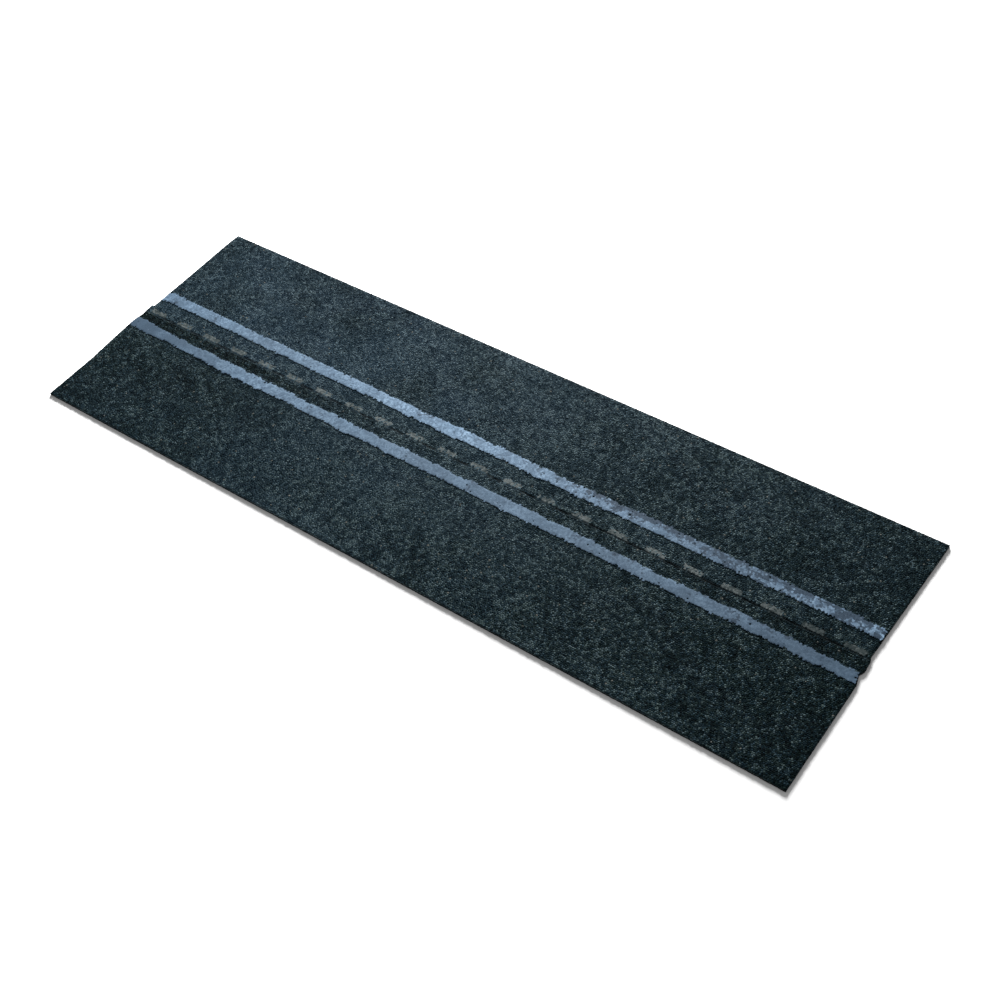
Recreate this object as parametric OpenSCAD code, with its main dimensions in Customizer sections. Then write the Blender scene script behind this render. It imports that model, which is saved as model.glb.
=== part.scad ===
// Perforated asphalt starter shingle, double width, lying face up.
// X runs along the sheet, Y from its front edge to its back edge, Z up.
// The origin is under the middle of the sheet, on the surface it lies on.

/* [Sheet] */
// Overall length, along the tear line
sheet_l = 1000; // [700:1:1300]
// Overall width, both halves together
sheet_w = 337; // [260:1:420]
// Thickness of the mat with its asphalt coating and its mineral surface
sheet_t = 3; // [2.4:0.1:4.5]

/* [Tear line] */
// Distance from one pressed mark to the next
mark_pitch = 45.7; // [36:0.1:56]
// Length of a pressed mark
mark_l = 23.5; // [18:0.5:28]
// Width of a pressed mark
mark_w = 6.8; // [4:0.1:10]
// Plain width between the score and the marks
mark_gap = 0.2; // [0.1:0.1:2]
// How deep the anvil presses a mark into the mineral surface
mark_depth = 0.3; // [0.1:0.05:0.6]
// Plain length left between the last mark and the right end
mark_end_gap = 5; // [3:0.5:12]
// Width of the cut made by the perforating blade
slit_w = 1.4; // [1:0.1:2]
// Length of sheet left whole between a slit and the next mark
slit_end_gap = 3; // [1:0.5:5]
// Depth of the score that joins the slits
score_depth = 0.8; // [0.4:0.1:1.4]

/* [Sealant] */
// Width of a sealant strip
strip_w = 14.5; // [8:0.5:20]
// Thickness of a sealant strip above the mineral surface
strip_t = 0.5; // [0.3:0.1:1.5]
// Plain width between the tear line and the back strip
strip_gap_back = 26; // [18:0.5:40]
// Plain width between the tear line and the front strip
strip_gap_front = 17.5; // [14:0.5:40]
// How far the edge of a strip wanders to either side
strip_wander = 0.7; // [0:0.1:1.5]
// How far out of line, towards the tear line, the front strip starts at the left end
strip_drift = 2.8; // [0:0.1:6]
// Length over which the front strip comes into line
drift_run = 260; // [50:1:500]

/* [Cut ends] */
// How far the front half stands out past the back half at the left end
left_jog = 4; // [2:0.5:8]
// How far the right end draws in at the tear line and at the front strip
right_notch = 3.6; // [2:0.2:6]
// Slack of the shear cut elsewhere along an end
end_slack = 0.8; // [0.2:0.1:1.5]

/* [Hidden] */

half_l = sheet_l / 2;
half_w = sheet_w / 2;
// Cuts run past the faces they open by this much
over = 1;
// The front strip lies past the tear line, and the marks lie behind it
front_strip_y = -(strip_gap_front + strip_w / 2);
back_strip_y = strip_gap_back + strip_w / 2;
mark_y = slit_w / 2 + mark_gap + mark_w / 2;
// The row of marks starts at the right end and stops before the left one
last_mark_x = half_l - right_notch - mark_end_gap - mark_l / 2;
first_mark_limit = -half_l + left_jog + mark_l / 2;
mark_count = floor((last_mark_x - first_mark_limit) / mark_pitch) + 1;
slit_l = mark_pitch - mark_l - 2 * slit_end_gap;
// The strip edges are drawn as straight runs of about this length
wander_step = 12.5;
wander_runs = round(sheet_l / wander_step);
// The wander is a slow wave and a quick one, in degrees for each millimetre
slow_wave = 1.7;
quick_wave = 5.3;
slow_share = 0.6;
// Where along its wander each strip starts, in degrees
back_phase = 40;
front_phase = 110;
// Above 1, the front strip comes into line quickly at first and slowly at last
drift_ease = 1.5;
// How far from the back corner each end runs straight again
left_corner_run = 20;
right_corner_run = 10;
// In front of the front strip the left end draws back, by half and then all the way
jog_halfway = 43.5;
jog_return = 72.5;

// How far the left end lies inside the overall box, from the back to the front
function left_end() = [
    [half_w, left_jog],
    [half_w - left_corner_run, left_jog - end_slack],
    [back_strip_y + strip_w, left_jog],
    [mark_y + mark_w, left_jog],
    [mark_y + mark_w, end_slack / 2],
    [-strip_gap_front / 2, 2 * end_slack],
    [-strip_gap_front, 0],
    [front_strip_y - strip_w / 2, 0],
    [front_strip_y - jog_halfway, left_jog / 2],
    [front_strip_y - jog_return, left_jog],
    [-half_w, left_jog]
];

// How far the right end lies inside the overall box, from the front to the back
function right_end() = [
    [-half_w, end_slack / 2],
    [front_strip_y - strip_w / 2, end_slack / 2],
    [front_strip_y + strip_w / 4, right_notch],
    [-strip_gap_front + strip_w / 4, end_slack],
    [-slit_w, 2 * end_slack],
    [mark_y, right_notch],
    [back_strip_y, right_notch - end_slack],
    [half_w - right_corner_run, 0],
    [half_w, 0]
];

// The face of the sheet seen from above, with both shear-cut ends
module sheet_outline() {
    polygon(concat(
        [for (p = left_end()) [-half_l + p[1], p[0]]],
        [for (p = right_end()) [half_l - p[1], p[0]]]
    ));
}

// Centre of mark number i, counted from the right end
function mark_x(i) = last_mark_x - i * mark_pitch;

// One flat mark pressed into the top face
module pressed_mark(x) {
    translate([x - mark_l / 2, mark_y - mark_w / 2, sheet_t - mark_depth])
        cube([mark_l, mark_w, mark_depth + over]);
}

// One slit right through the sheet, in the run between two marks
module slit(x) {
    translate([x - slit_l / 2, -slit_w / 2, -over])
        cube([slit_l, slit_w, sheet_t + 2 * over]);
}

// The shallow score along the whole tear line
module score() {
    translate([-half_l - over, -slit_w / 2, sheet_t - score_depth])
        cube([sheet_l + 2 * over, slit_w, score_depth + over]);
}

// Side-to-side wander of a strip edge at distance x along the sheet
function wander(x, phase) =
    strip_wander * slow_share * sin(slow_wave * x + phase)
    + strip_wander * (1 - slow_share) * sin(quick_wave * x + 3 * phase);

// How far a strip that starts out of line still is at distance x along the sheet
function drift(x, start) = start * pow(max(0, 1 - (x + half_l) / drift_run), drift_ease);

// Points of one strip edge, from the left end to the right end
function strip_edge(y, phase, start) = [
    for (k = [0 : wander_runs])
        let (x = -half_l + k * sheet_l / wander_runs)
        [x, y + wander(x, phase) + drift(x, start)]
];

function reversed(points) = [for (k = [len(points) - 1 : -1 : 0]) points[k]];

// One ribbon of sealant on the top face, cut off with the ends of the sheet
module sealant_strip(y, phase, start) {
    translate([0, 0, sheet_t])
        linear_extrude(strip_t)
            intersection() {
                sheet_outline();
                polygon(concat(
                    strip_edge(y - strip_w / 2, phase, start),
                    reversed(strip_edge(y + strip_w / 2, 2 * phase, start))
                ));
            }
}

module shingle_sheet() {
    color([0.13, 0.18, 0.22])
        difference() {
            linear_extrude(sheet_t) sheet_outline();
            score();
            for (i = [0 : mark_count - 1]) pressed_mark(mark_x(i));
            for (i = [0 : mark_count - 2]) slit(mark_x(i) - mark_pitch / 2);
        }
}

module sealant_strip_back() {
    color([0.47, 0.56, 0.69]) sealant_strip(back_strip_y, back_phase, 0);
}

module sealant_strip_front() {
    color([0.44, 0.53, 0.65]) sealant_strip(front_strip_y, front_phase, strip_drift);
}

shingle_sheet();
sealant_strip_back();
sealant_strip_front();
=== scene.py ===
import math

import bpy
import numpy as np
from mathutils import Matrix, Vector
from mathutils.geometry import delaunay_2d_cdt
from mathutils.kdtree import KDTree


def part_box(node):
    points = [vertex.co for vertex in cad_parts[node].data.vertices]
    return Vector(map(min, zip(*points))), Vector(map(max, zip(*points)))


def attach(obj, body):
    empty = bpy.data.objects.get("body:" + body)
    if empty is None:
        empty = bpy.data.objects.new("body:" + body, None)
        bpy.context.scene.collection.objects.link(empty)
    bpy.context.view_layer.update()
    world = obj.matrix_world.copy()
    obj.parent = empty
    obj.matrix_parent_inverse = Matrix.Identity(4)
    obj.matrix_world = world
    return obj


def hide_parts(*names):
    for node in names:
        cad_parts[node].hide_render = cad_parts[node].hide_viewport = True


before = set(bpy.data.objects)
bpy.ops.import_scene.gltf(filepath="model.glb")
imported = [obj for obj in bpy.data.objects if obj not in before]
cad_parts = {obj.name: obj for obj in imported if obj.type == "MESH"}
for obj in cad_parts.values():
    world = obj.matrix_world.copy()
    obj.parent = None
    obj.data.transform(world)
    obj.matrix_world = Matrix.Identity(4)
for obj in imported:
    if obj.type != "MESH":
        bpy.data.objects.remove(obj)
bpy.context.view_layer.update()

MM = 0.001
SEED = 20

# ---------------------------------------------------------------- sizes, in millimetres
GRAIN = 2.1             # distance between neighbouring granules
JITTER = 0.36           # how far a granule strays from its place, in granules
CLEAR_OF_EDGE = 0.55    # free granules stay this far from an outline, in granules
APEX_STRAY = 0.2        # how far a granule's top strays from its middle, in granules
RIM_STEP = 1.4          # distance between points along a cut edge
RIM_ROUGH = 0.3         # how far a cut edge is bitten in
VALLEY_DROP = 0.56      # the coating between granules lies this far below the CAD top
VALLEY_ROUGH = 0.16     # and varies by this much
GRAIN_HIGH = (0.28, 0.72)    # lowest and highest granule, above the coating
RIM_HIGH = (-0.25, 0.2)      # the same along a cut edge
PRESSED_HIGH = (0.05, 0.16)  # and in a pressed mark, above the crushed floor
PRESSED_DROP = 0.42     # crushed granules lie this far below the CAD top
MARK_RAGGED = 0.35      # how far a mark's edge strays, granule by granule
SCORE_DROP = (0.5, 0.8)      # bottom of the score below the CAD top, where it is faint and deep
SCORE_REACH = 0.3       # granules this near the score's middle line are cut by it
SCORE_CLEAR = 1.65      # and no others lie nearer than this
SCORE_STEP = 0.8        # distance between granules along the score, in granules
SLIT_LIP = 1.6          # the rim of a slit, this near the score, is partly bare
SCORE_SHADE_REACH = 2.6        # granules this near the score are darker, from painted shade
STRETCHES = 6           # the sheet is shown as this many pieces side by side
WALL_LEVELS = (0.62, 0.3, 0.0)   # rows of points down a cut edge, as shares of the thickness
WALL_ROUGH = 0.35       # how far those rows are bitten in
WALL_FOOT = 0.3         # the lowest row is bitten in by this share only
WALL_TIGHT = 3          # the rows' bites change this many times as quickly as WALL_WAVE says
WALL_SHIFT = 50         # and differ between rows by this shift, for each millimetre of height
COAT_HIGH = 0.3         # top of the sealant above the CAD top of the sheet
COAT_WAVE = 0.1         # and how much it varies slowly
COAT_GRAIN = 0.06       # and from granule to granule
COAT_SINK = 0.12        # how far it lies lower where it is thin
COAT_DROOP = 0.1        # how far its edge sinks
COAT_WANDER = 1.7       # how far its edge strays slowly
COAT_RAGGED = 0.5       # and from granule to granule
COAT_ROOT = 0.1         # it reaches this far below the coating between the granules

# ---------------------------------------------------------------- noises: (size of features, seed)
WALL_WAVE = (1.6, 7)
COAT_SWELL = (7.0, 5)
TONE_CLUMPS = (4.6, 15)
PALER_WIDE = (34, 13)
PALER_CLOSE = (13, 14)
# patches in the painted sheen
SHEEN_WIDE = (60, 11)
SHEEN_CLOSE = (23, 12)
THIN_SPOTS = (4.2, 21)
THIN_AREAS = (14.0, 22)
EDGE_WIDE = 16.0        # sizes only, because each strip has its own seed
EDGE_CLOSE = 6.0
# size of the patches of painted shade on the sealant
PAINTED_SHADE_AREAS = 18.0

# ---------------------------------------------------------------- looks of the granules
TONE_MIDDLE = 0.48      # tone of an average granule, from 0 to 1
TONE_OWN = 0.86         # range of tone from granule to granule
TONE_SHARED = 0.62      # and from clump to clump
PALER_NEAR = 0.05       # how much paler they are near the tear line
PALER_PATCHY = 0.3      # range of tone from patch to patch
SHADE_BAND_DARK = 0.13      # how much darker the painted shade band in front of the tear line makes them
SHADE_BAND_LESS_SHEEN = 0.7      # and how much of the painted sheen is taken off there
PRESSED_DARK = 0.3      # how much darker a dim pressed mark is
SCORE_SHADE_DARK = 0.25        # how much painted shade darkens the granules beside the score
SCORE_SHADE_FAINT = 0.3        # the share of that where the score is faint
LIP_BARE = 0.5          # how bare the rim of a slit is
SCORE_BARE = (0.0, 0.3)      # how bare the score is, where it is faint and deep
CREST_FULL = 0.42       # from this height up, 1 at the crest, a place has the granule's colour; below, it turns to black asphalt with painted occlusion shade
CREST_CRUSHED = 0.7     # the height given to places between crushed granules
CREST_RIM = 0.35        # and to cut edges
SCORE_SUNK = 0.12       # how much lower than CREST_FULL the deep score is given

# ---------------------------------------------------------------- looks of the sealant
THIN_SHARES = (0.45, 0.4, 0.3)   # what spots, areas and single granules add to its thinness
THIN_BIAS = 0.25        # taken off the single granules' part
THIN_LEVEL = 0.78       # above this it is thin
THIN_GAIN = 0.55        # less this, where thin places are common
THIN_SOFT = 0.16        # over this range it goes from whole to thin
THIN_MOST = 0.95        # and never thinner than this
PAINTED_SHADE_PATCHY = 0.3       # range of painted shade from area to area
PITS_MORE = 1.5         # how many more bare granules towards the right end, as a share
PITS_FROM = 0.2         # and from where along the sheet
SHARP_ANGLE = 50        # its faces are shaded smooth across less than this many degrees

# ---------------------------------------------------------------- runs: pairs of (place, value)
# Along the sheet, where the left end is -1 and the right end 1: a slit's width as a share of
# its CAD width, the score from faint to deep, the share of a mark's granules left whole, how
# dim a mark is, how much painted light makes the granules paler, how strong the painted shade
# band in front of the tear line is, and the painted sheen on each half
SLIT_OPEN = ((-1, 0.36), (0.1, 0.3), (0.3, 0.6), (1, 0.6))
SCORE_DEEP = ((-1, 0.3), (-0.4, 0), (0.15, 0), (0.45, 1))
MARK_MISSED = ((-0.9, 0.03), (-0.5, 0.1), (0.1, 0.38), (0.6, 0.15), (0.76, 0.02))
MARK_DIM = ((-1, 0.7), (-0.5, 0), (0.6, 0), (0.9, 1))
PAINTED_LIGHT_ALONG = ((-1, 0.0), (-0.4, 0.04), (-0.1, 0.16), (0.6, 0.12), (1, -0.05))
SHADE_BAND_ALONG = ((-1, 2.0), (-0.4, 1.0), (-0.1, 0.1), (0.4, 0.3), (1, 1.4))
SHEEN_BACK = ((-1, 0.62), (-0.2, 0.62), (0.3, 0.32), (1, 0.12))
SHEEN_FRONT = ((-1, 0.1), (-0.6, 0.2), (-0.3, 0.44), (0.1, 0.34), (0.5, 0.1), (1, 0.0))
# Across the sheet, in millimetres from its middle line, either way for PALER_ACROSS, and from
# the strip's own middle line for THIN_ACROSS. The share that weighs the back half's painted
# sheen against the front half's is in half widths.
PALER_ACROSS = ((30, 1), (60, 0))
SHADE_BAND_ACROSS = ((-18, 0), (-13, 1), (-3, 1), (0, 0))
SHEEN_SHARE = ((-0.25, 0), (0.1, 1))
THIN_ACROSS = ((-5, 0.55), (5, 1.3))

SHEET = "shingle_sheet"
# Each strip of sealant: its noise seed, how common thin places are along it, its share of
# bare granules, and how much painted shade darkens it along it
COATS = {
    "sealant_strip_back": {
        "seed": 31,
        "thin_along": ((-1, 0.04), (0.15, 0.05), (0.4, 0.74), (1, 0.74)),
        "pits": 0.004,
        "painted_shade_along": ((-1, 0.55), (-0.6, 0.57), (-0.1, 0.05), (0.15, 0.34), (0.65, 0.5), (1, 0.2)),
    },
    "sealant_strip_front": {
        "seed": 41,
        "thin_along": ((-1, 0.04), (0.15, 0.05), (0.4, 0.25), (1, 0.25)),
        "pits": 0.002,
        "painted_shade_along": ((-1, 1.1), (-0.6, 0.45), (-0.1, 0.65), (0.15, 0.62), (0.65, 0.7), (1, 0.84)),
    },
}

low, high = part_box(SHEET)
top_z = high.z / MM
half_l = high.x / MM
half_w = high.y / MM
valley_z = top_z - VALLEY_DROP
rng = np.random.default_rng(SEED)


def run_at(run, place):
    """The value of a run of (place, value) pairs at each place, on straight lines between."""
    places, values = zip(*run)
    return np.interp(place, places, values)


# ---------------------------------------------------------------- reading the CAD solids
def loops_at(node, z):
    """The closed outlines of a CAD node's level faces at height z, in millimetres."""
    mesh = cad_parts[node].data
    place = [tuple(round(c / MM, 3) for c in v.co) for v in mesh.vertices]
    sides = set()
    for face in mesh.polygons:
        corners = [place[i] for i in face.vertices]
        if any(abs(c[2] - z) > 0.01 for c in corners):
            continue
        for a, b in zip(corners, corners[1:] + corners[:1]):
            if (b, a) in sides:
                sides.remove((b, a))
            else:
                sides.add((a, b))
    following = dict(sorted(sides))
    loops = []
    while following:
        start, here = following.popitem()
        loop = [start]
        while here != start:
            loop.append(here)
            here = following.pop(here)
        loops.append(np.array(loop)[:, :2])
    return sorted(loops, key=lambda p: (-round(np.ptp(p[:, 0]), 2), p[:, 0].min()))


def resampled(loop, step, rough):
    """Points along a closed outline, each bitten inwards by up to rough."""
    turned = np.roll(loop, -1, axis=0)
    area = np.sum(loop[:, 0] * turned[:, 1] - turned[:, 0] * loop[:, 1])
    points = []
    for a, b in zip(loop, turned):
        length = np.hypot(*(b - a))
        inward = np.array([a[1] - b[1], b[0] - a[0]]) / length * np.sign(area)
        count = max(1, round(length / step))
        for k in range(count):
            bite = rough * rng.random() ** 2
            points.append(a + (b - a) * k / count + inward * bite)
    return np.array(points)


def sprung_shut(slit):
    """A slit's outline with its lips closer together than the blade left them."""
    middle = slit.mean(0)
    return middle + (slit - middle) * [1, run_at(SLIT_OPEN, middle[0] / half_l)]


def within(x, y, loops, margin):
    """Which places lie in the box round one of the loops, grown by margin."""
    found = np.zeros(len(x), bool)
    for loop in loops:
        lo, hi = loop.min(0), loop.max(0)
        along = (x > lo[0] - margin) & (x < hi[0] + margin)
        found |= along & (y > lo[1] - margin) & (y < hi[1] + margin)
    return found


# ---------------------------------------------------------------- noise on arrays
HASH_FACTORS = (374761393, 668265263, 974711)
HASH_AGAIN = 1274126177
LOW_31_BITS = 0x7FFFFFFF
LOW_16_BITS = 0xFFFF


def hashed(i, j, seed):
    """A number from 0 to 1 for each pair of whole numbers."""
    n = (i * HASH_FACTORS[0] + j * HASH_FACTORS[1] + seed * HASH_FACTORS[2]) & LOW_31_BITS
    n = ((n ^ (n >> 13)) * HASH_AGAIN) & LOW_31_BITS
    return ((n ^ (n >> 16)) & LOW_16_BITS) / LOW_16_BITS


def smooth_noise(x, y, size, seed):
    """Value noise from 0 to 1 with features of about the given size."""
    u, v = x / size, y / size
    i, j = np.floor(u).astype(np.int64), np.floor(v).astype(np.int64)
    fu, fv = u - i, v - j
    fu, fv = fu * fu * (3 - 2 * fu), fv * fv * (3 - 2 * fv)
    near = hashed(i, j, seed) * (1 - fu) + hashed(i + 1, j, seed) * fu
    far = hashed(i, j + 1, seed) * (1 - fu) + hashed(i + 1, j + 1, seed) * fu
    return near * (1 - fv) + far * fv


# ---------------------------------------------------------------- the granule network
def ring_sides(loops):
    """Pairs of neighbouring point numbers round each loop, the loops' points in a row."""
    sides, start = [], 0
    for loop in loops:
        n = len(loop)
        sides += [(start + k, start + (k + 1) % n) for k in range(n)]
        start += n
    return sides


def loose_granules(score_y):
    """Granules on a shaken hexagonal lattice, and one row along the score."""
    rise = GRAIN * math.sqrt(3) / 2
    rows = int(2 * half_w / rise)
    columns = int(2 * half_l / GRAIN)
    row, column = np.mgrid[0:rows, 0:columns]
    x = (column + 0.5 * (row % 2) + 0.25) * GRAIN - half_l
    y = (row + 0.5) * rise - half_w
    stray = rng.uniform(-JITTER, JITTER, (2, rows, columns)) * GRAIN
    free = np.stack([(x + stray[0]).ravel(), (y + stray[1]).ravel()], 1)
    free = free[abs(free[:, 1] - score_y) > SCORE_CLEAR]
    cut = np.arange(-half_l, half_l, SCORE_STEP * GRAIN)
    score = np.stack([cut, score_y + 0 * cut], 1)
    return np.concatenate([free, score])


def granule_network(outline, slits, score_y):
    """Granule places in millimetres, and the triangles between neighbours."""
    loops = [resampled(outline, RIM_STEP, RIM_ROUGH)]
    loops += [resampled(slit, RIM_STEP, 0) for slit in slits]
    fixed = np.concatenate(loops)
    tree = KDTree(len(fixed))
    for k, p in enumerate(fixed):
        tree.insert((p[0], p[1], 0), k)
    tree.balance()
    free = loose_granules(score_y)
    clear = [tree.find((p[0], p[1], 0))[2] > CLEAR_OF_EDGE * GRAIN for p in free]
    points = np.concatenate([fixed, free[np.array(clear)]])
    out = delaunay_2d_cdt([tuple(p) for p in points], ring_sides(loops), [], 1, 1e-7)
    places, triangles = np.array(out[0]), np.array(out[2])
    in_slit = within(*places[triangles].mean(1).T, slits, 0.0)
    return places, triangles[~in_slit]


def around_granules(places, triangles):
    """The faces that fan round each granule, and each face's granule. Corner numbers past
    the granules' own are the middles of the triangles."""
    n = len(places)
    middles = places[triangles].mean(1)
    start = triangles.ravel()
    end = np.roll(triangles, -1, axis=1).ravel()
    owner = np.repeat(np.arange(len(triangles)), 3)
    key, back = start * n + end, end * n + start
    order = np.argsort(key)
    at = np.searchsorted(key[order], back).clip(0, len(key) - 1)
    other = order[at]
    paired = key[other] == back
    inner = np.stack([start, n + owner[other], n + owner], 1)[paired]
    rim = np.stack([start, end, n + owner], 1)[~paired]
    faces = np.concatenate([inner, rim])
    granule = np.concatenate([start[paired], start[~paired]])
    on_rim = np.zeros(n, bool)
    on_rim[start[~paired]] = True
    return np.concatenate([places, middles]), faces, granule, on_rim


# ---------------------------------------------------------------- closed meshes
def open_sides(faces):
    """Directed sides of the faces with nothing on their other side, in walking order."""
    start = faces.ravel()
    end = np.roll(faces, -1, axis=1).ravel()
    n = int(faces.max()) + 1
    lone = ~np.isin(start * n + end, end * n + start)
    leaving = {}
    for a, b in zip(start[lone].tolist(), end[lone].tolist()):
        leaving.setdefault(a, []).append(b)
    walked = []
    while leaving:
        here = next(iter(leaving))
        while here in leaving:
            ahead = leaving[here].pop()
            if not leaving[here]:
                del leaving[here]
            walked.append((here, ahead))
            here = ahead
    return np.array(walked)


def inward_at(points, sides, ring, to_ring):
    """At each point of the ring, the level direction that points into the faces."""
    ahead = np.zeros((len(ring), 2))
    step = points[sides[:, 1], :2] - points[sides[:, 0], :2]
    for end in (0, 1):
        np.add.at(ahead, to_ring[sides[:, end]], step)
    inward = np.stack([-ahead[:, 1], ahead[:, 0]], 1)
    return inward / (np.linalg.norm(inward, axis=1, keepdims=True) + 1e-9)


# Where the three kinds of face lie on the map that a finish is baked to
TOP_U, UNDER_U, WALL_U = (0.01, 0.70), (0.72, 0.90), (0.93, 0.99)
ALL_V = (0.01, 0.99)


def level_map(points, across):
    """Map places of level faces: the piece's longer side runs up the map."""
    lo, hi = points[:, :2].min(0), points[:, :2].max(0)
    share = (points[:, :2] - lo) / (hi - lo)
    if hi[0] - lo[0] > hi[1] - lo[1]:
        share = share[:, ::-1]
    u = across[0] + (across[1] - across[0]) * share[:, 0]
    v = ALL_V[0] + (ALL_V[1] - ALL_V[0]) * share[:, 1]
    return np.stack([u, v], 1)


def wall_map(points, sides, rows):
    """Map places of wall faces, unrolled: two triangles for each side and row."""
    length = np.linalg.norm(points[sides[:, 1], :2] - points[sides[:, 0], :2], axis=1)
    gone = np.concatenate([[0], np.cumsum(length)]) / length.sum()
    v = ALL_V[0] + (ALL_V[1] - ALL_V[0]) * gone
    start, end = v[:-1], v[1:]
    u = np.linspace(*WALL_U, rows + 1)
    parts = []
    for k in range(rows):
        upper, lower = np.full(len(start), u[k]), np.full(len(start), u[k + 1])
        first = [(upper, start), (lower, start), (lower, end)]
        second = [(upper, start), (lower, end), (upper, end)]
        for corners in (first, second):
            parts.append(np.stack([np.stack(c, 1) for c in corners], 1))
    return np.concatenate(parts)


def walls_down(points, sides, levels, bite):
    """Rows of points below the open sides, the faces between them, and the lowest row's
    point numbers and sides."""
    ring = np.unique(sides)
    to_ring = np.zeros(len(points), int)
    to_ring[ring] = np.arange(len(ring))
    inward = inward_at(points, sides, ring, to_ring)
    a, b = to_ring[sides[:, 0]], to_ring[sides[:, 1]]
    rows, walls = [], []
    above, count = ring, len(points)
    for level in levels:
        x, y = (points[ring, :2] * WALL_TIGHT).T
        wave = smooth_noise(x, y + WALL_SHIFT * level, *WALL_WAVE)
        depth = bite[ring] * wave * (WALL_FOOT if level == levels[-1] else 1.0)
        row = points[ring].copy()
        row[:, :2] += inward * depth[:, None]
        row[:, 2] = level
        rows.append(row)
        below = count + np.arange(len(ring))
        walls.append(np.stack([above[a], below[a], below[b]], 1))
        walls.append(np.stack([above[a], below[b], above[b]], 1))
        above, count = below, count + len(ring)
    return np.concatenate(rows), np.concatenate(walls), above, np.stack([a, b], 1)


def reached(triangles, sides):
    """The triangles on the left of the directed sides, and all that join them without
    crossing a side, which leaves out what lies in a hole."""
    fence = set(sides)
    owner = {}
    for k, (a, b, c) in enumerate(triangles):
        owner.update({(a, b): k, (b, c): k, (c, a): k})
    waiting = [owner[side] for side in sides if side in owner]
    found = set(waiting)
    while waiting:
        a, b, c = triangles[waiting.pop()]
        for side in ((a, b), (b, c), (c, a)):
            beyond = owner.get(side[::-1])
            if side not in fence and beyond is not None and beyond not in found:
                found.add(beyond)
                waiting.append(beyond)
    return [triangles[k] for k in sorted(found)]


def underside(lowest, numbers, sides):
    """Level faces that close the lowest row of points."""
    sides = [tuple(side) for side in sides.tolist()]
    out = delaunay_2d_cdt([tuple(p[:2]) for p in lowest], sides, [], 1, 1e-9)
    source = [came[0] if came else -1 for came in out[3]]
    triangles = [tuple(source[corner] for corner in face) for face in out[2]]
    return numbers[np.array(reached(triangles, sides))][:, ::-1]


def closed_skin(name, points, faces, levels, bite, values, crest, materials):
    """A closed piece: the given upper faces, walls down from their open sides with one row
    of points at each level, and a level underside. values holds arrays over the faces."""
    used, faces = np.unique(faces, return_inverse=True)
    faces = faces.reshape(-1, 3)
    points, crest, bite = points[used], crest[used], bite[used]
    sides = open_sides(faces)
    lower, wall, numbers, lowest_sides = walls_down(points, sides, levels, bite)
    under = underside(lower[-len(numbers):], numbers, lowest_sides)
    every = np.concatenate([faces, wall, under])
    places = np.concatenate([points, lower])
    spots = np.concatenate([level_map(places, TOP_U)[faces],
                            wall_map(points, sides, len(levels)),
                            level_map(places, UNDER_U)[under]])
    kind = np.repeat([0, 1, 2], [len(faces), len(wall), len(under)])
    mesh = mesh_of(name, places * MM, every, kind.clip(0, len(materials) - 1))
    mesh.uv_layers.new(name="OFBake").data.foreach_set("uv", spots.astype(np.float32).ravel())
    for key, array in values.items():
        add_values(mesh, key, "FACE", array, len(every))
    add_values(mesh, "crest", "POINT", crest, len(places))
    mesh.validate()
    mesh.shade_flat()
    for material in materials:
        mesh.materials.append(material)
    piece = bpy.data.objects.new(name, mesh)
    bpy.context.scene.collection.objects.link(piece)
    return piece


def mesh_of(name, places, triangles, slots):
    mesh = bpy.data.meshes.new(name)
    mesh.vertices.add(len(places))
    mesh.vertices.foreach_set("co", places.astype(np.float32).ravel())
    mesh.loops.add(triangles.size)
    mesh.loops.foreach_set("vertex_index", triangles.astype(np.int32).ravel())
    mesh.polygons.add(len(triangles))
    starts = np.arange(0, triangles.size, 3, dtype=np.int32)
    mesh.polygons.foreach_set("loop_start", starts)
    mesh.polygons.foreach_set("material_index", slots.astype(np.int32))
    mesh.update(calc_edges=True)
    return mesh


def add_values(mesh, key, domain, array, count):
    """Stores an array as an attribute, with zeros for the elements past its end."""
    full = np.zeros(count, np.float32)
    full[: len(array)] = array
    mesh.attributes.new(key, "FLOAT", domain).data.foreach_set("value", full)


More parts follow.
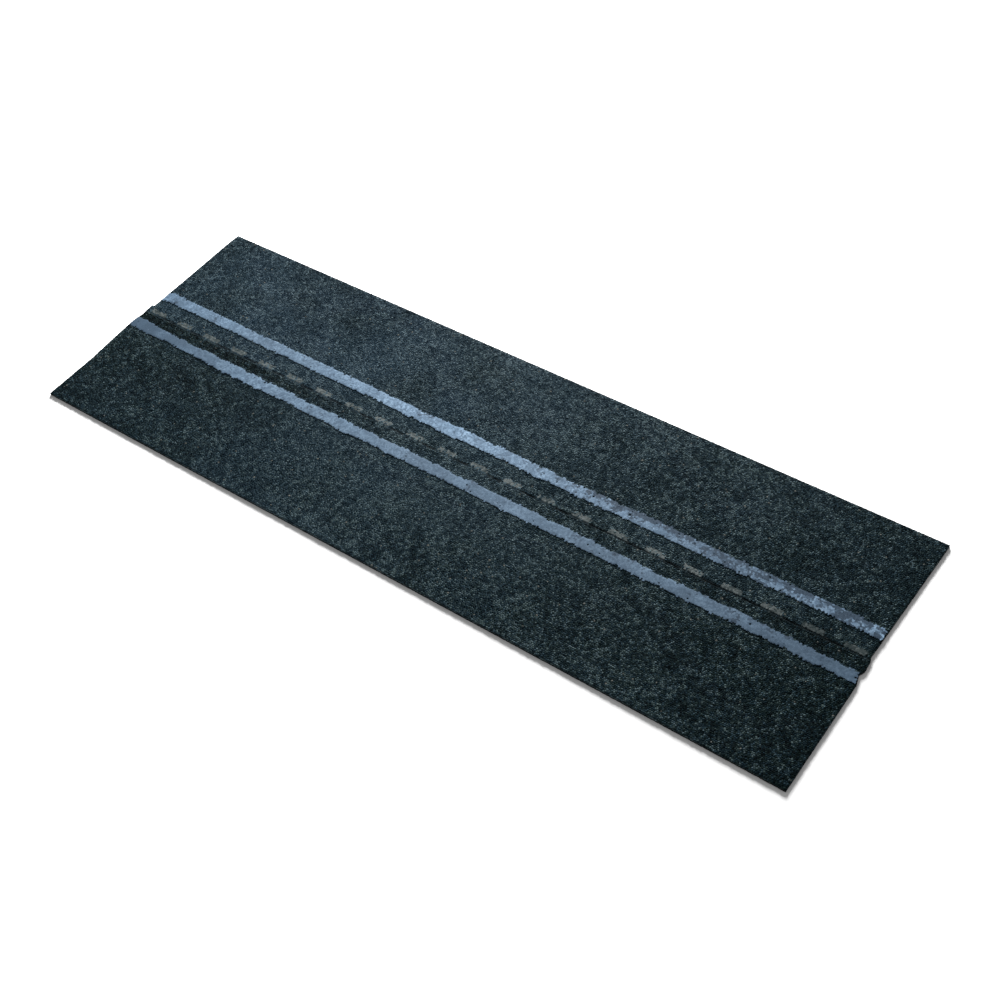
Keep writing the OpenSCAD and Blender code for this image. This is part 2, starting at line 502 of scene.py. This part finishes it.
# ---------------------------------------------------------------- materials
class Graph:
    """A material's node tree, written one short call at a time."""

    def __init__(self, name):
        self.material = bpy.data.materials.new(name)
        self.material.use_nodes = True
        self.tree = self.material.node_tree
        self.shader = self.tree.nodes["Principled BSDF"]
        self.place = self.node("ShaderNodeTexCoord").outputs["Object"]

    def node(self, kind, inputs=None, **settings):
        made = self.tree.nodes.new(kind)
        for key, value in settings.items():
            setattr(made, key, value)
        for key, value in (inputs or {}).items():
            self.put(made.inputs[key], value)
        return made

    def put(self, socket, value):
        if isinstance(value, bpy.types.NodeSocket):
            self.tree.links.new(value, socket)
        else:
            socket.default_value = value

    def attribute(self, name):
        return self.node("ShaderNodeAttribute", attribute_name=name).outputs["Fac"]

    def noise(self, scale, detail, rough):
        made = self.node("ShaderNodeTexNoise", {"Vector": self.place, "Scale": scale,
                                                "Detail": detail, "Roughness": rough})
        return made.outputs["Fac"]

    def ramp(self, value, stops, interpolation="LINEAR"):
        made = self.node("ShaderNodeValToRGB", {"Fac": value})
        made.color_ramp.interpolation = interpolation
        elements = made.color_ramp.elements
        while len(elements) < len(stops):
            elements.new(0.5)
        for element, (at, colour) in zip(elements, stops):
            element.position = at
            element.color = (*colour, 1)
        return made.outputs["Color"]

    def spread(self, value, low, high, to_low=0.0, to_high=1.0):
        made = self.node("ShaderNodeMapRange", {"Value": value, "From Min": low, "From Max": high,
                                                "To Min": to_low, "To Max": to_high})
        return made.outputs["Result"]

    def mix(self, factor, a, b):
        made = self.node("ShaderNodeMix", data_type="RGBA")
        self.put(made.inputs["Factor"], factor)
        self.put(made.inputs[6], a if isinstance(a, bpy.types.NodeSocket) else (*a, 1))
        self.put(made.inputs[7], b if isinstance(b, bpy.types.NodeSocket) else (*b, 1))
        return made.outputs[2]

    def bump(self, height, distance, strength):
        made = self.node("ShaderNodeBump", {"Height": height, "Distance": distance,
                                            "Strength": strength})
        return made.outputs["Normal"]

    def finish(self, **sockets):
        for key, value in sockets.items():
            self.put(self.shader.inputs[key.replace("_", " ")], value)
        return self.material


BLACK = (0, 0, 0)
WHITE = (1, 1, 1)
# black asphalt between the granules, made darker still as painted occlusion shade
VALLEY_ASPHALT_AND_SHADE = (0.0016, 0.0038, 0.0046)
BARE_COLOUR = (0.0004, 0.0004, 0.0004)
CLOUD_COLOUR = (0.063, 0.107, 0.159)
STREAK_COLOUR = (0.041, 0.071, 0.112)
# the colour that painted shade darkens the sealant towards
PAINTED_SHADE_COLOUR = (0.022, 0.039, 0.060)
THIN_COLOUR = (0.014, 0.026, 0.042)
PLAIN_BACK_COLOUR = (0.02, 0.021, 0.021)


def mineral_material():
    """Dark ceramic granules, each of one tone, with a few pale ones and a bluish painted sheen."""
    g = Graph("mineral_granules")
    tone, tint = g.attribute("tone"), g.attribute("tint")
    olive = g.ramp(tone, [(0.0, (0.0007, 0.0021, 0.0021)), (0.30, (0.0024, 0.0066, 0.0064)),
                          (0.60, (0.0062, 0.0130, 0.0128)), (0.85, (0.0160, 0.0270, 0.0270)),
                          (1.0, (0.037, 0.056, 0.057))])
    slate = g.ramp(tone, [(0.0, (0.0005, 0.0020, 0.0027)), (0.30, (0.0017, 0.0062, 0.0088)),
                          (0.60, (0.0045, 0.0125, 0.0175)), (0.85, (0.0125, 0.0260, 0.0340)),
                          (1.0, (0.036, 0.055, 0.062))])
    stone = g.mix(g.spread(tint, 0.25, 0.75), olive, slate)
    # a pale bluish colour for the painted sheen, strongest at the back left
    sheened = g.ramp(tone, [(0.0, (0.0060, 0.0160, 0.0260)), (0.5, (0.0160, 0.0310, 0.0450)),
                          (1.0, (0.044, 0.070, 0.087))])
    stone = g.mix(g.attribute("painted_sheen"), stone, sheened)
    rare = g.ramp(tint, [(0.0, BLACK), (0.9945, WHITE)], "CONSTANT")
    sort = g.ramp(tint, [(0.0, (0.060, 0.065, 0.060)), (0.9970, (0.150, 0.155, 0.140)),
                         (0.9985, (0.300, 0.175, 0.100)), (0.9993, (0.600, 0.560, 0.460))],
                  "CONSTANT")
    stone = g.mix(rare, stone, sort)
    crushed = g.ramp(tone, [(0.0, (0.015, 0.021, 0.022)), (0.5, (0.035, 0.043, 0.044)),
                            (1.0, (0.065, 0.076, 0.077))])
    stone = g.mix(g.attribute("mark"), stone, crushed)
    # down from the crests the colour turns to black asphalt and painted occlusion shade
    crest = g.spread(g.attribute("crest"), 0.0, CREST_FULL)
    colour = g.mix(crest, VALLEY_ASPHALT_AND_SHADE, stone)
    colour = g.mix(g.attribute("cut"), colour, BARE_COLOUR)
    rough = g.spread(tone, 0.0, 1.0, 0.82, 0.6)
    fine = g.noise(2600.0, 3.0, 0.6)
    return g.finish(Base_Color=colour, Roughness=rough, Normal=g.bump(fine, 0.00012, 0.5),
                    Specular_IOR_Level=0.008)


def sealant_material():
    """Pale blue sealant, cloudy, darkened along its length by painted shade, thin enough in places
    to let the granules through.
    """
    g = Graph("sealant")
    pale = g.ramp(g.attribute("tone"), [(0.0, (0.040, 0.066, 0.101)), (0.5, (0.088, 0.139, 0.200)),
                                        (1.0, (0.166, 0.245, 0.335))])
    cloud = g.spread(g.noise(22.0, 4.0, 0.6), 0.35, 0.65, 0.0, 0.5)
    pale = g.mix(cloud, pale, CLOUD_COLOUR)
    streak = g.spread(g.noise(420.0, 3.0, 0.65), 0.48, 0.66, 0.0, 0.7)
    pale = g.mix(streak, pale, STREAK_COLOUR)
    # painted shade along the strip and in patches
    pale = g.mix(g.attribute("painted_shade"), pale, PAINTED_SHADE_COLOUR)
    colour = g.mix(g.attribute("thin"), pale, THIN_COLOUR)
    fine = g.noise(1500.0, 4.0, 0.65)
    return g.finish(Base_Color=colour, Roughness=g.spread(fine, 0.3, 0.7, 0.55, 0.75),
                    Normal=g.bump(fine, 0.0002, 0.6), Specular_IOR_Level=0.03)


def edge_material():
    """Sheared asphalt, with a few broken granules showing."""
    g = Graph("cut_asphalt")
    fine = g.noise(1400.0, 4.0, 0.7)
    colour = g.ramp(fine, [(0.35, (0.0015, 0.0015, 0.0015)), (0.64, (0.005, 0.006, 0.006)),
                           (0.76, (0.035, 0.037, 0.035))])
    return g.finish(Base_Color=colour, Roughness=g.spread(fine, 0.3, 0.7, 0.55, 0.85),
                    Normal=g.bump(fine, 0.0003, 0.8), Specular_IOR_Level=0.1)


def backing_material():
    """The dark back, dusted with fine sand."""
    g = Graph("sanded_back")
    fine = g.noise(2200.0, 3.0, 0.6)
    cloud = g.noise(12.0, 4.0, 0.6)
    sand = g.ramp(fine, [(0.35, (0.012, 0.013, 0.013)), (0.55, (0.045, 0.047, 0.046)),
                         (0.72, (0.16, 0.16, 0.15))])
    colour = g.mix(g.spread(cloud, 0.35, 0.65, 0.0, 0.6), sand, PLAIN_BACK_COLOUR)
    return g.finish(Base_Color=colour, Roughness=g.spread(fine, 0.3, 0.7, 0.6, 0.9),
                    Normal=g.bump(fine, 0.0003, 0.8), Specular_IOR_Level=0.2)


# ---------------------------------------------------------------- what each granule is
def painted_light_and_tone_at(x, y):
    """How much paler the granules are: painted light along the sheet, most between the middle and
    the right end, with patches of tone, less the painted shade band.
    """
    lift = run_at(PAINTED_LIGHT_ALONG, x / half_l) + PALER_NEAR * run_at(PALER_ACROSS, abs(y))
    wide, close = smooth_noise(x, y, *PALER_WIDE), smooth_noise(x, y, *PALER_CLOSE)
    patches = 0.5 * wide + 0.5 * close - 0.5
    return lift + PALER_PATCHY * patches - SHADE_BAND_DARK * shade_band_at(x, y)


def shade_band_at(x, y):
    """How much painted shade darkens the run just in front of the tear line, most at its ends."""
    return run_at(SHADE_BAND_ALONG, x / half_l) * run_at(SHADE_BAND_ACROSS, y)


def painted_sheen_at(x, y):
    """How much painted sheen the surface gets, from 0 to 1: most at the back left, least at the
    right.
    """
    back, front = run_at(SHEEN_BACK, x / half_l), run_at(SHEEN_FRONT, x / half_l)
    share = run_at(SHEEN_SHARE, y / half_w)
    wide, close = smooth_noise(x, y, *SHEEN_WIDE), smooth_noise(x, y, *SHEEN_CLOSE)
    patches = 0.3 + 1.4 * (0.6 * wide + 0.4 * close)
    sheened = (share * back + (1 - share) * front) * patches
    # less painted sheen in the painted shade band
    return sheened * (1 - SHADE_BAND_LESS_SHEEN * shade_band_at(x, y)).clip(0, 1)


def thin_at(x, y, strip_y, thin_along):
    """How thin the sealant is, from 0 to 1: in spots, more of them towards the right end
    and the back edge."""
    spots, areas = smooth_noise(x, y, *THIN_SPOTS), smooth_noise(x, y, *THIN_AREAS)
    amount = THIN_SHARES[0] * spots + THIN_SHARES[1] * areas
    amount = amount + THIN_SHARES[2] * (rng.random(len(x)) - THIN_BIAS)
    common = run_at(thin_along, x / half_l) * run_at(THIN_ACROSS, y - strip_y)
    level = THIN_LEVEL - THIN_GAIN * common
    return np.clip((amount - level) / THIN_SOFT, 0, THIN_MOST)


def deep_at(x):
    """How deep the score is, from 0 where it is faint to 1: most towards the right end."""
    return run_at(SCORE_DEEP, x / half_l)


class Surface:
    """The granule network of the top face, with what each granule is and how high it is."""

    def __init__(self):
        bottom = loops_at(SHEET, 0)
        outline, slits = bottom[0], [sprung_shut(slit) for slit in bottom[1:]]
        levels = sorted({round(v.co.z / MM, 2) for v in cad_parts[SHEET].data.vertices})
        mark_z = [level for level in levels if level < top_z - 0.01][-1]
        self.marks = loops_at(SHEET, mark_z)
        self.score_y = float(np.mean([slit[:, 1].mean() for slit in slits]))
        self.places, triangles = granule_network(outline, slits, self.score_y)
        self.flat, self.faces, self.granule, self.on_rim = around_granules(self.places, triangles)
        self.n = len(self.places)
        self.sort_granules()
        self.raise_points()

    def sort_granules(self):
        n, (x, y) = self.n, self.places.T
        own = TONE_OWN * (rng.random(n) - 0.5)
        shared = TONE_SHARED * (smooth_noise(x, y, *TONE_CLUMPS) - 0.5)
        # painted light along the sheet and the painted shade band are added to each granule's tone
        # here
        self.tone = TONE_MIDDLE + own + shared + painted_light_and_tone_at(x, y)
        self.tint = rng.random(n)
        ragged = rng.uniform(-MARK_RAGGED, MARK_RAGGED, n)
        hit = rng.random(n) > run_at(MARK_MISSED, x / half_l)
        in_mark = within(x, y, self.marks, ragged) & hit
        off_score = abs(y - self.score_y)
        self.cut = np.where(self.on_rim, off_score < SLIT_LIP, off_score < SCORE_REACH)
        self.grooved = self.cut & ~self.on_rim
        deep = deep_at(x)
        self.bare = self.cut * np.where(self.on_rim, LIP_BARE, np.interp(deep, [0, 1], SCORE_BARE))
        self.pressed = in_mark & ~self.cut
        dim = PRESSED_DARK * self.pressed * run_at(MARK_DIM, x / half_l)
        # painted shade beside the score, which dims the wall of the score that faces the lamp
        beside = (off_score < SCORE_SHADE_REACH) & ~self.pressed
        score_shade = SCORE_SHADE_DARK * beside * (SCORE_SHADE_FAINT + (1 - SCORE_SHADE_FAINT) * deep)
        self.tone = (self.tone - (dim + score_shade)).clip(0, 1)
        # painted sheen, strongest at the back left
        self.painted_sheen = painted_sheen_at(x, y).clip(0, 1)

    def raise_points(self):
        n, (x, y) = self.n, self.flat.T
        count = len(self.flat)
        middles = np.arange(count) >= n
        z = valley_z + VALLEY_ROUGH * (rng.random(count) - 0.5)
        crest = np.zeros(count)
        z[:n] += rng.uniform(*GRAIN_HIGH, n)
        crest[:n] = 1.0
        crushed = top_z - PRESSED_DROP + rng.uniform(*PRESSED_HIGH, n)
        z[:n] = np.where(self.pressed, crushed, z[:n])
        between_crushed = middles & within(x, y, self.marks, 0.0)
        z[between_crushed] = top_z - PRESSED_DROP
        crest[between_crushed] = CREST_CRUSHED
        z[:n] = np.where(self.on_rim, valley_z + rng.uniform(*RIM_HIGH, n), z[:n])
        crest[:n][self.on_rim] = CREST_RIM
        deep = deep_at(x[:n][self.grooved])
        z[:n][self.grooved] = top_z - np.interp(deep, [0, 1], SCORE_DROP)
        crest[:n][self.grooved] = CREST_FULL - SCORE_SUNK * deep
        stray = rng.uniform(-APEX_STRAY, APEX_STRAY, (n, 2)) * GRAIN
        stray[self.on_rim | self.cut] = 0
        self.flat[:n] += stray
        self.points = np.column_stack([self.flat, z])
        self.crest = crest

    def stretch(self):
        """The number of the stretch that each face belongs to."""
        share = (self.places[self.granule, 0] + half_l) / (2 * half_l)
        return np.floor(share * STRETCHES).clip(0, STRETCHES - 1)


# ---------------------------------------------------------------- pieces
def ride_for(piece, node):
    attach(piece, "root")
    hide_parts(node)


def add_sheet(surface):
    materials = [mineral_material(), edge_material(), backing_material()]
    levels = [level * top_z for level in WALL_LEVELS]
    bite = np.zeros(len(surface.flat))
    bite[: surface.n][surface.on_rim] = WALL_ROUGH
    for k in range(STRETCHES):
        mine = surface.stretch() == k
        g = surface.granule[mine]
        values = {"tone": surface.tone[g], "tint": surface.tint[g], "painted_sheen": surface.painted_sheen[g],
                  "mark": surface.pressed[g], "cut": surface.bare[g]}
        piece = closed_skin(f"mineral_sheet_{k + 1}", surface.points, surface.faces[mine],
                            levels, bite, values, surface.crest, materials)
        ride_for(piece, SHEET)


def edge_line(outline, upper):
    """The upper or lower edge of a strip's outline, from left to right."""
    above = outline[:, 1] > np.interp(outline[:, 0], *middle_line(outline))
    edge = outline[above == upper]
    return edge[np.argsort(edge[:, 0])].T


def middle_line(outline):
    """Half-way places between a strip's two edges, at a few distances along it."""
    at = np.linspace(outline[:, 0].min(), outline[:, 0].max(), 21)
    near = [outline[abs(outline[:, 0] - x) < at[1] - at[0], 1] for x in at]
    return at, [(ys.min() + ys.max()) / 2 for ys in near]


def coated(surface, strip, seed):
    """Which granules a strip of sealant covers."""
    outline = loops_at(strip, top_z)[0]
    x, y = surface.places.T
    edges = []
    for side, upper in enumerate((False, True)):
        wide = smooth_noise(x, 0 * y, EDGE_WIDE, seed + side)
        slow = wide + smooth_noise(x, y, EDGE_CLOSE, seed) - 1
        quick = rng.random(surface.n) - 0.5
        line = np.interp(x, *edge_line(outline, upper))
        edges.append(line + COAT_WANDER * slow + COAT_RAGGED * quick)
    return (y > edges[0]) & (y < edges[1]) & ~surface.on_rim


def add_coat(surface, strip, material, seed, thin_along, pits, painted_shade_along):
    """One strip of sealant, over whole granules, in as many pieces as the sheet."""
    lo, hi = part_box(strip)
    strip_y = (lo.y + hi.y) / 2 / MM
    px, py = surface.places.T
    thin = thin_at(px, py, strip_y, thin_along)
    areas = smooth_noise(px, py, PAINTED_SHADE_AREAS, seed + 5)
    # painted shade along the strip, with patches
    painted_shade = run_at(painted_shade_along, px / half_l) + PAINTED_SHADE_PATCHY * (areas - 0.5)
    bare = rng.random(surface.n) < pits * (1 + PITS_MORE * (px / half_l > PITS_FROM))
    covered = coated(surface, strip, seed) & ~bare
    x, y = surface.flat.T
    z = lo.z / MM + COAT_HIGH + COAT_WAVE * (smooth_noise(x, y, *COAT_SWELL) - 0.5)
    z[: surface.n] += COAT_GRAIN * (rng.random(surface.n) - 0.5) - COAT_SINK * thin
    base = [valley_z - COAT_ROOT]
    level = np.zeros(len(z))
    for k in range(STRETCHES):
        mine = covered[surface.granule] & (surface.stretch() == k)
        faces, g = surface.faces[mine], surface.granule[mine]
        points = np.column_stack([surface.flat, z])
        points[np.unique(open_sides(faces)), 2] -= COAT_DROOP
        values = {"tone": surface.tone[g], "thin": thin[g], "painted_shade": painted_shade[g].clip(0, 1)}
        name = strip.replace("strip_", "coat_") + f"_{k + 1}"
        piece = closed_skin(name, points, faces, base, level, values, surface.crest, [material])
        piece.data.shade_smooth()
        piece.data.set_sharp_from_angle(angle=math.radians(SHARP_ANGLE))
        ride_for(piece, strip)


def add_pieces():
    surface = Surface()
    add_sheet(surface)
    sealant = sealant_material()
    for strip, look in COATS.items():
        add_coat(surface, strip, sealant, **look)


# ---------------------------------------------------------------- stage, in metres and degrees
CAMERA_TARGET = (0.0688, -0.0204, 0.0)
CAMERA_AZIMUTH = 42.468
CAMERA_HEIGHT = 48.755
CAMERA_ROLL = -8.419
CAMERA_DISTANCE = 1.6267
CAMERA_LENS = 54.03     # in millimetres, as is the sensor
CAMERA_SENSOR = 36
FLOOR_SIZE = 14
FLOOR_DROP = 0.00005
FLOOR_COLOUR = (0.79, 0.79, 0.79, 1)
FLOOR_ROUGH = 0.9
KEY_PLACE = (-1.35, 2.2, 0.69)
KEY_SIZE = 1.4
KEY_POWER = 580.0
FILL = 0.36


def add_camera():
    data = bpy.data.cameras.new("camera")
    data.lens = CAMERA_LENS
    data.sensor_width = CAMERA_SENSOR
    camera = bpy.data.objects.new("camera", data)
    bpy.context.scene.collection.objects.link(camera)
    azimuth, height = math.radians(CAMERA_AZIMUTH), math.radians(CAMERA_HEIGHT)
    away = Vector((math.sin(azimuth) * math.cos(height), -math.cos(azimuth) * math.cos(height),
                   math.sin(height)))
    turn = away.to_track_quat("Z", "Y").to_matrix().to_4x4()
    roll = Matrix.Rotation(math.radians(CAMERA_ROLL), 4, "Z")
    place = Matrix.Translation(Vector(CAMERA_TARGET) + away * CAMERA_DISTANCE)
    camera.matrix_world = place @ turn @ roll
    bpy.context.scene.camera = camera


def add_floor():
    bpy.ops.mesh.primitive_plane_add(size=FLOOR_SIZE, location=(0, 0, -FLOOR_DROP))
    floor = bpy.context.object
    floor.name = "floor"
    material = bpy.data.materials.new("floor")
    material.use_nodes = True
    shader = material.node_tree.nodes["Principled BSDF"]
    shader.inputs["Base Color"].default_value = FLOOR_COLOUR
    shader.inputs["Roughness"].default_value = FLOOR_ROUGH
    shader.inputs["Specular IOR Level"].default_value = 0.0
    floor.data.materials.append(material)


def add_lights():
    data = bpy.data.lights.new("key", "AREA")
    data.shape = "DISK"
    data.size = KEY_SIZE
    data.energy = KEY_POWER
    key = bpy.data.objects.new("key", data)
    bpy.context.scene.collection.objects.link(key)
    key.location = KEY_PLACE
    key.rotation_euler = Vector(KEY_PLACE).to_track_quat("Z", "Y").to_euler()
    world = bpy.data.worlds.new("studio")
    world.use_nodes = True
    background = world.node_tree.nodes["Background"]
    background.inputs["Color"].default_value = (1, 1, 1, 1)
    background.inputs["Strength"].default_value = FILL
    bpy.context.scene.world = world


add_pieces()
add_camera()
add_floor()
add_lights()
bpy.context.scene.view_settings.view_transform = "Standard"
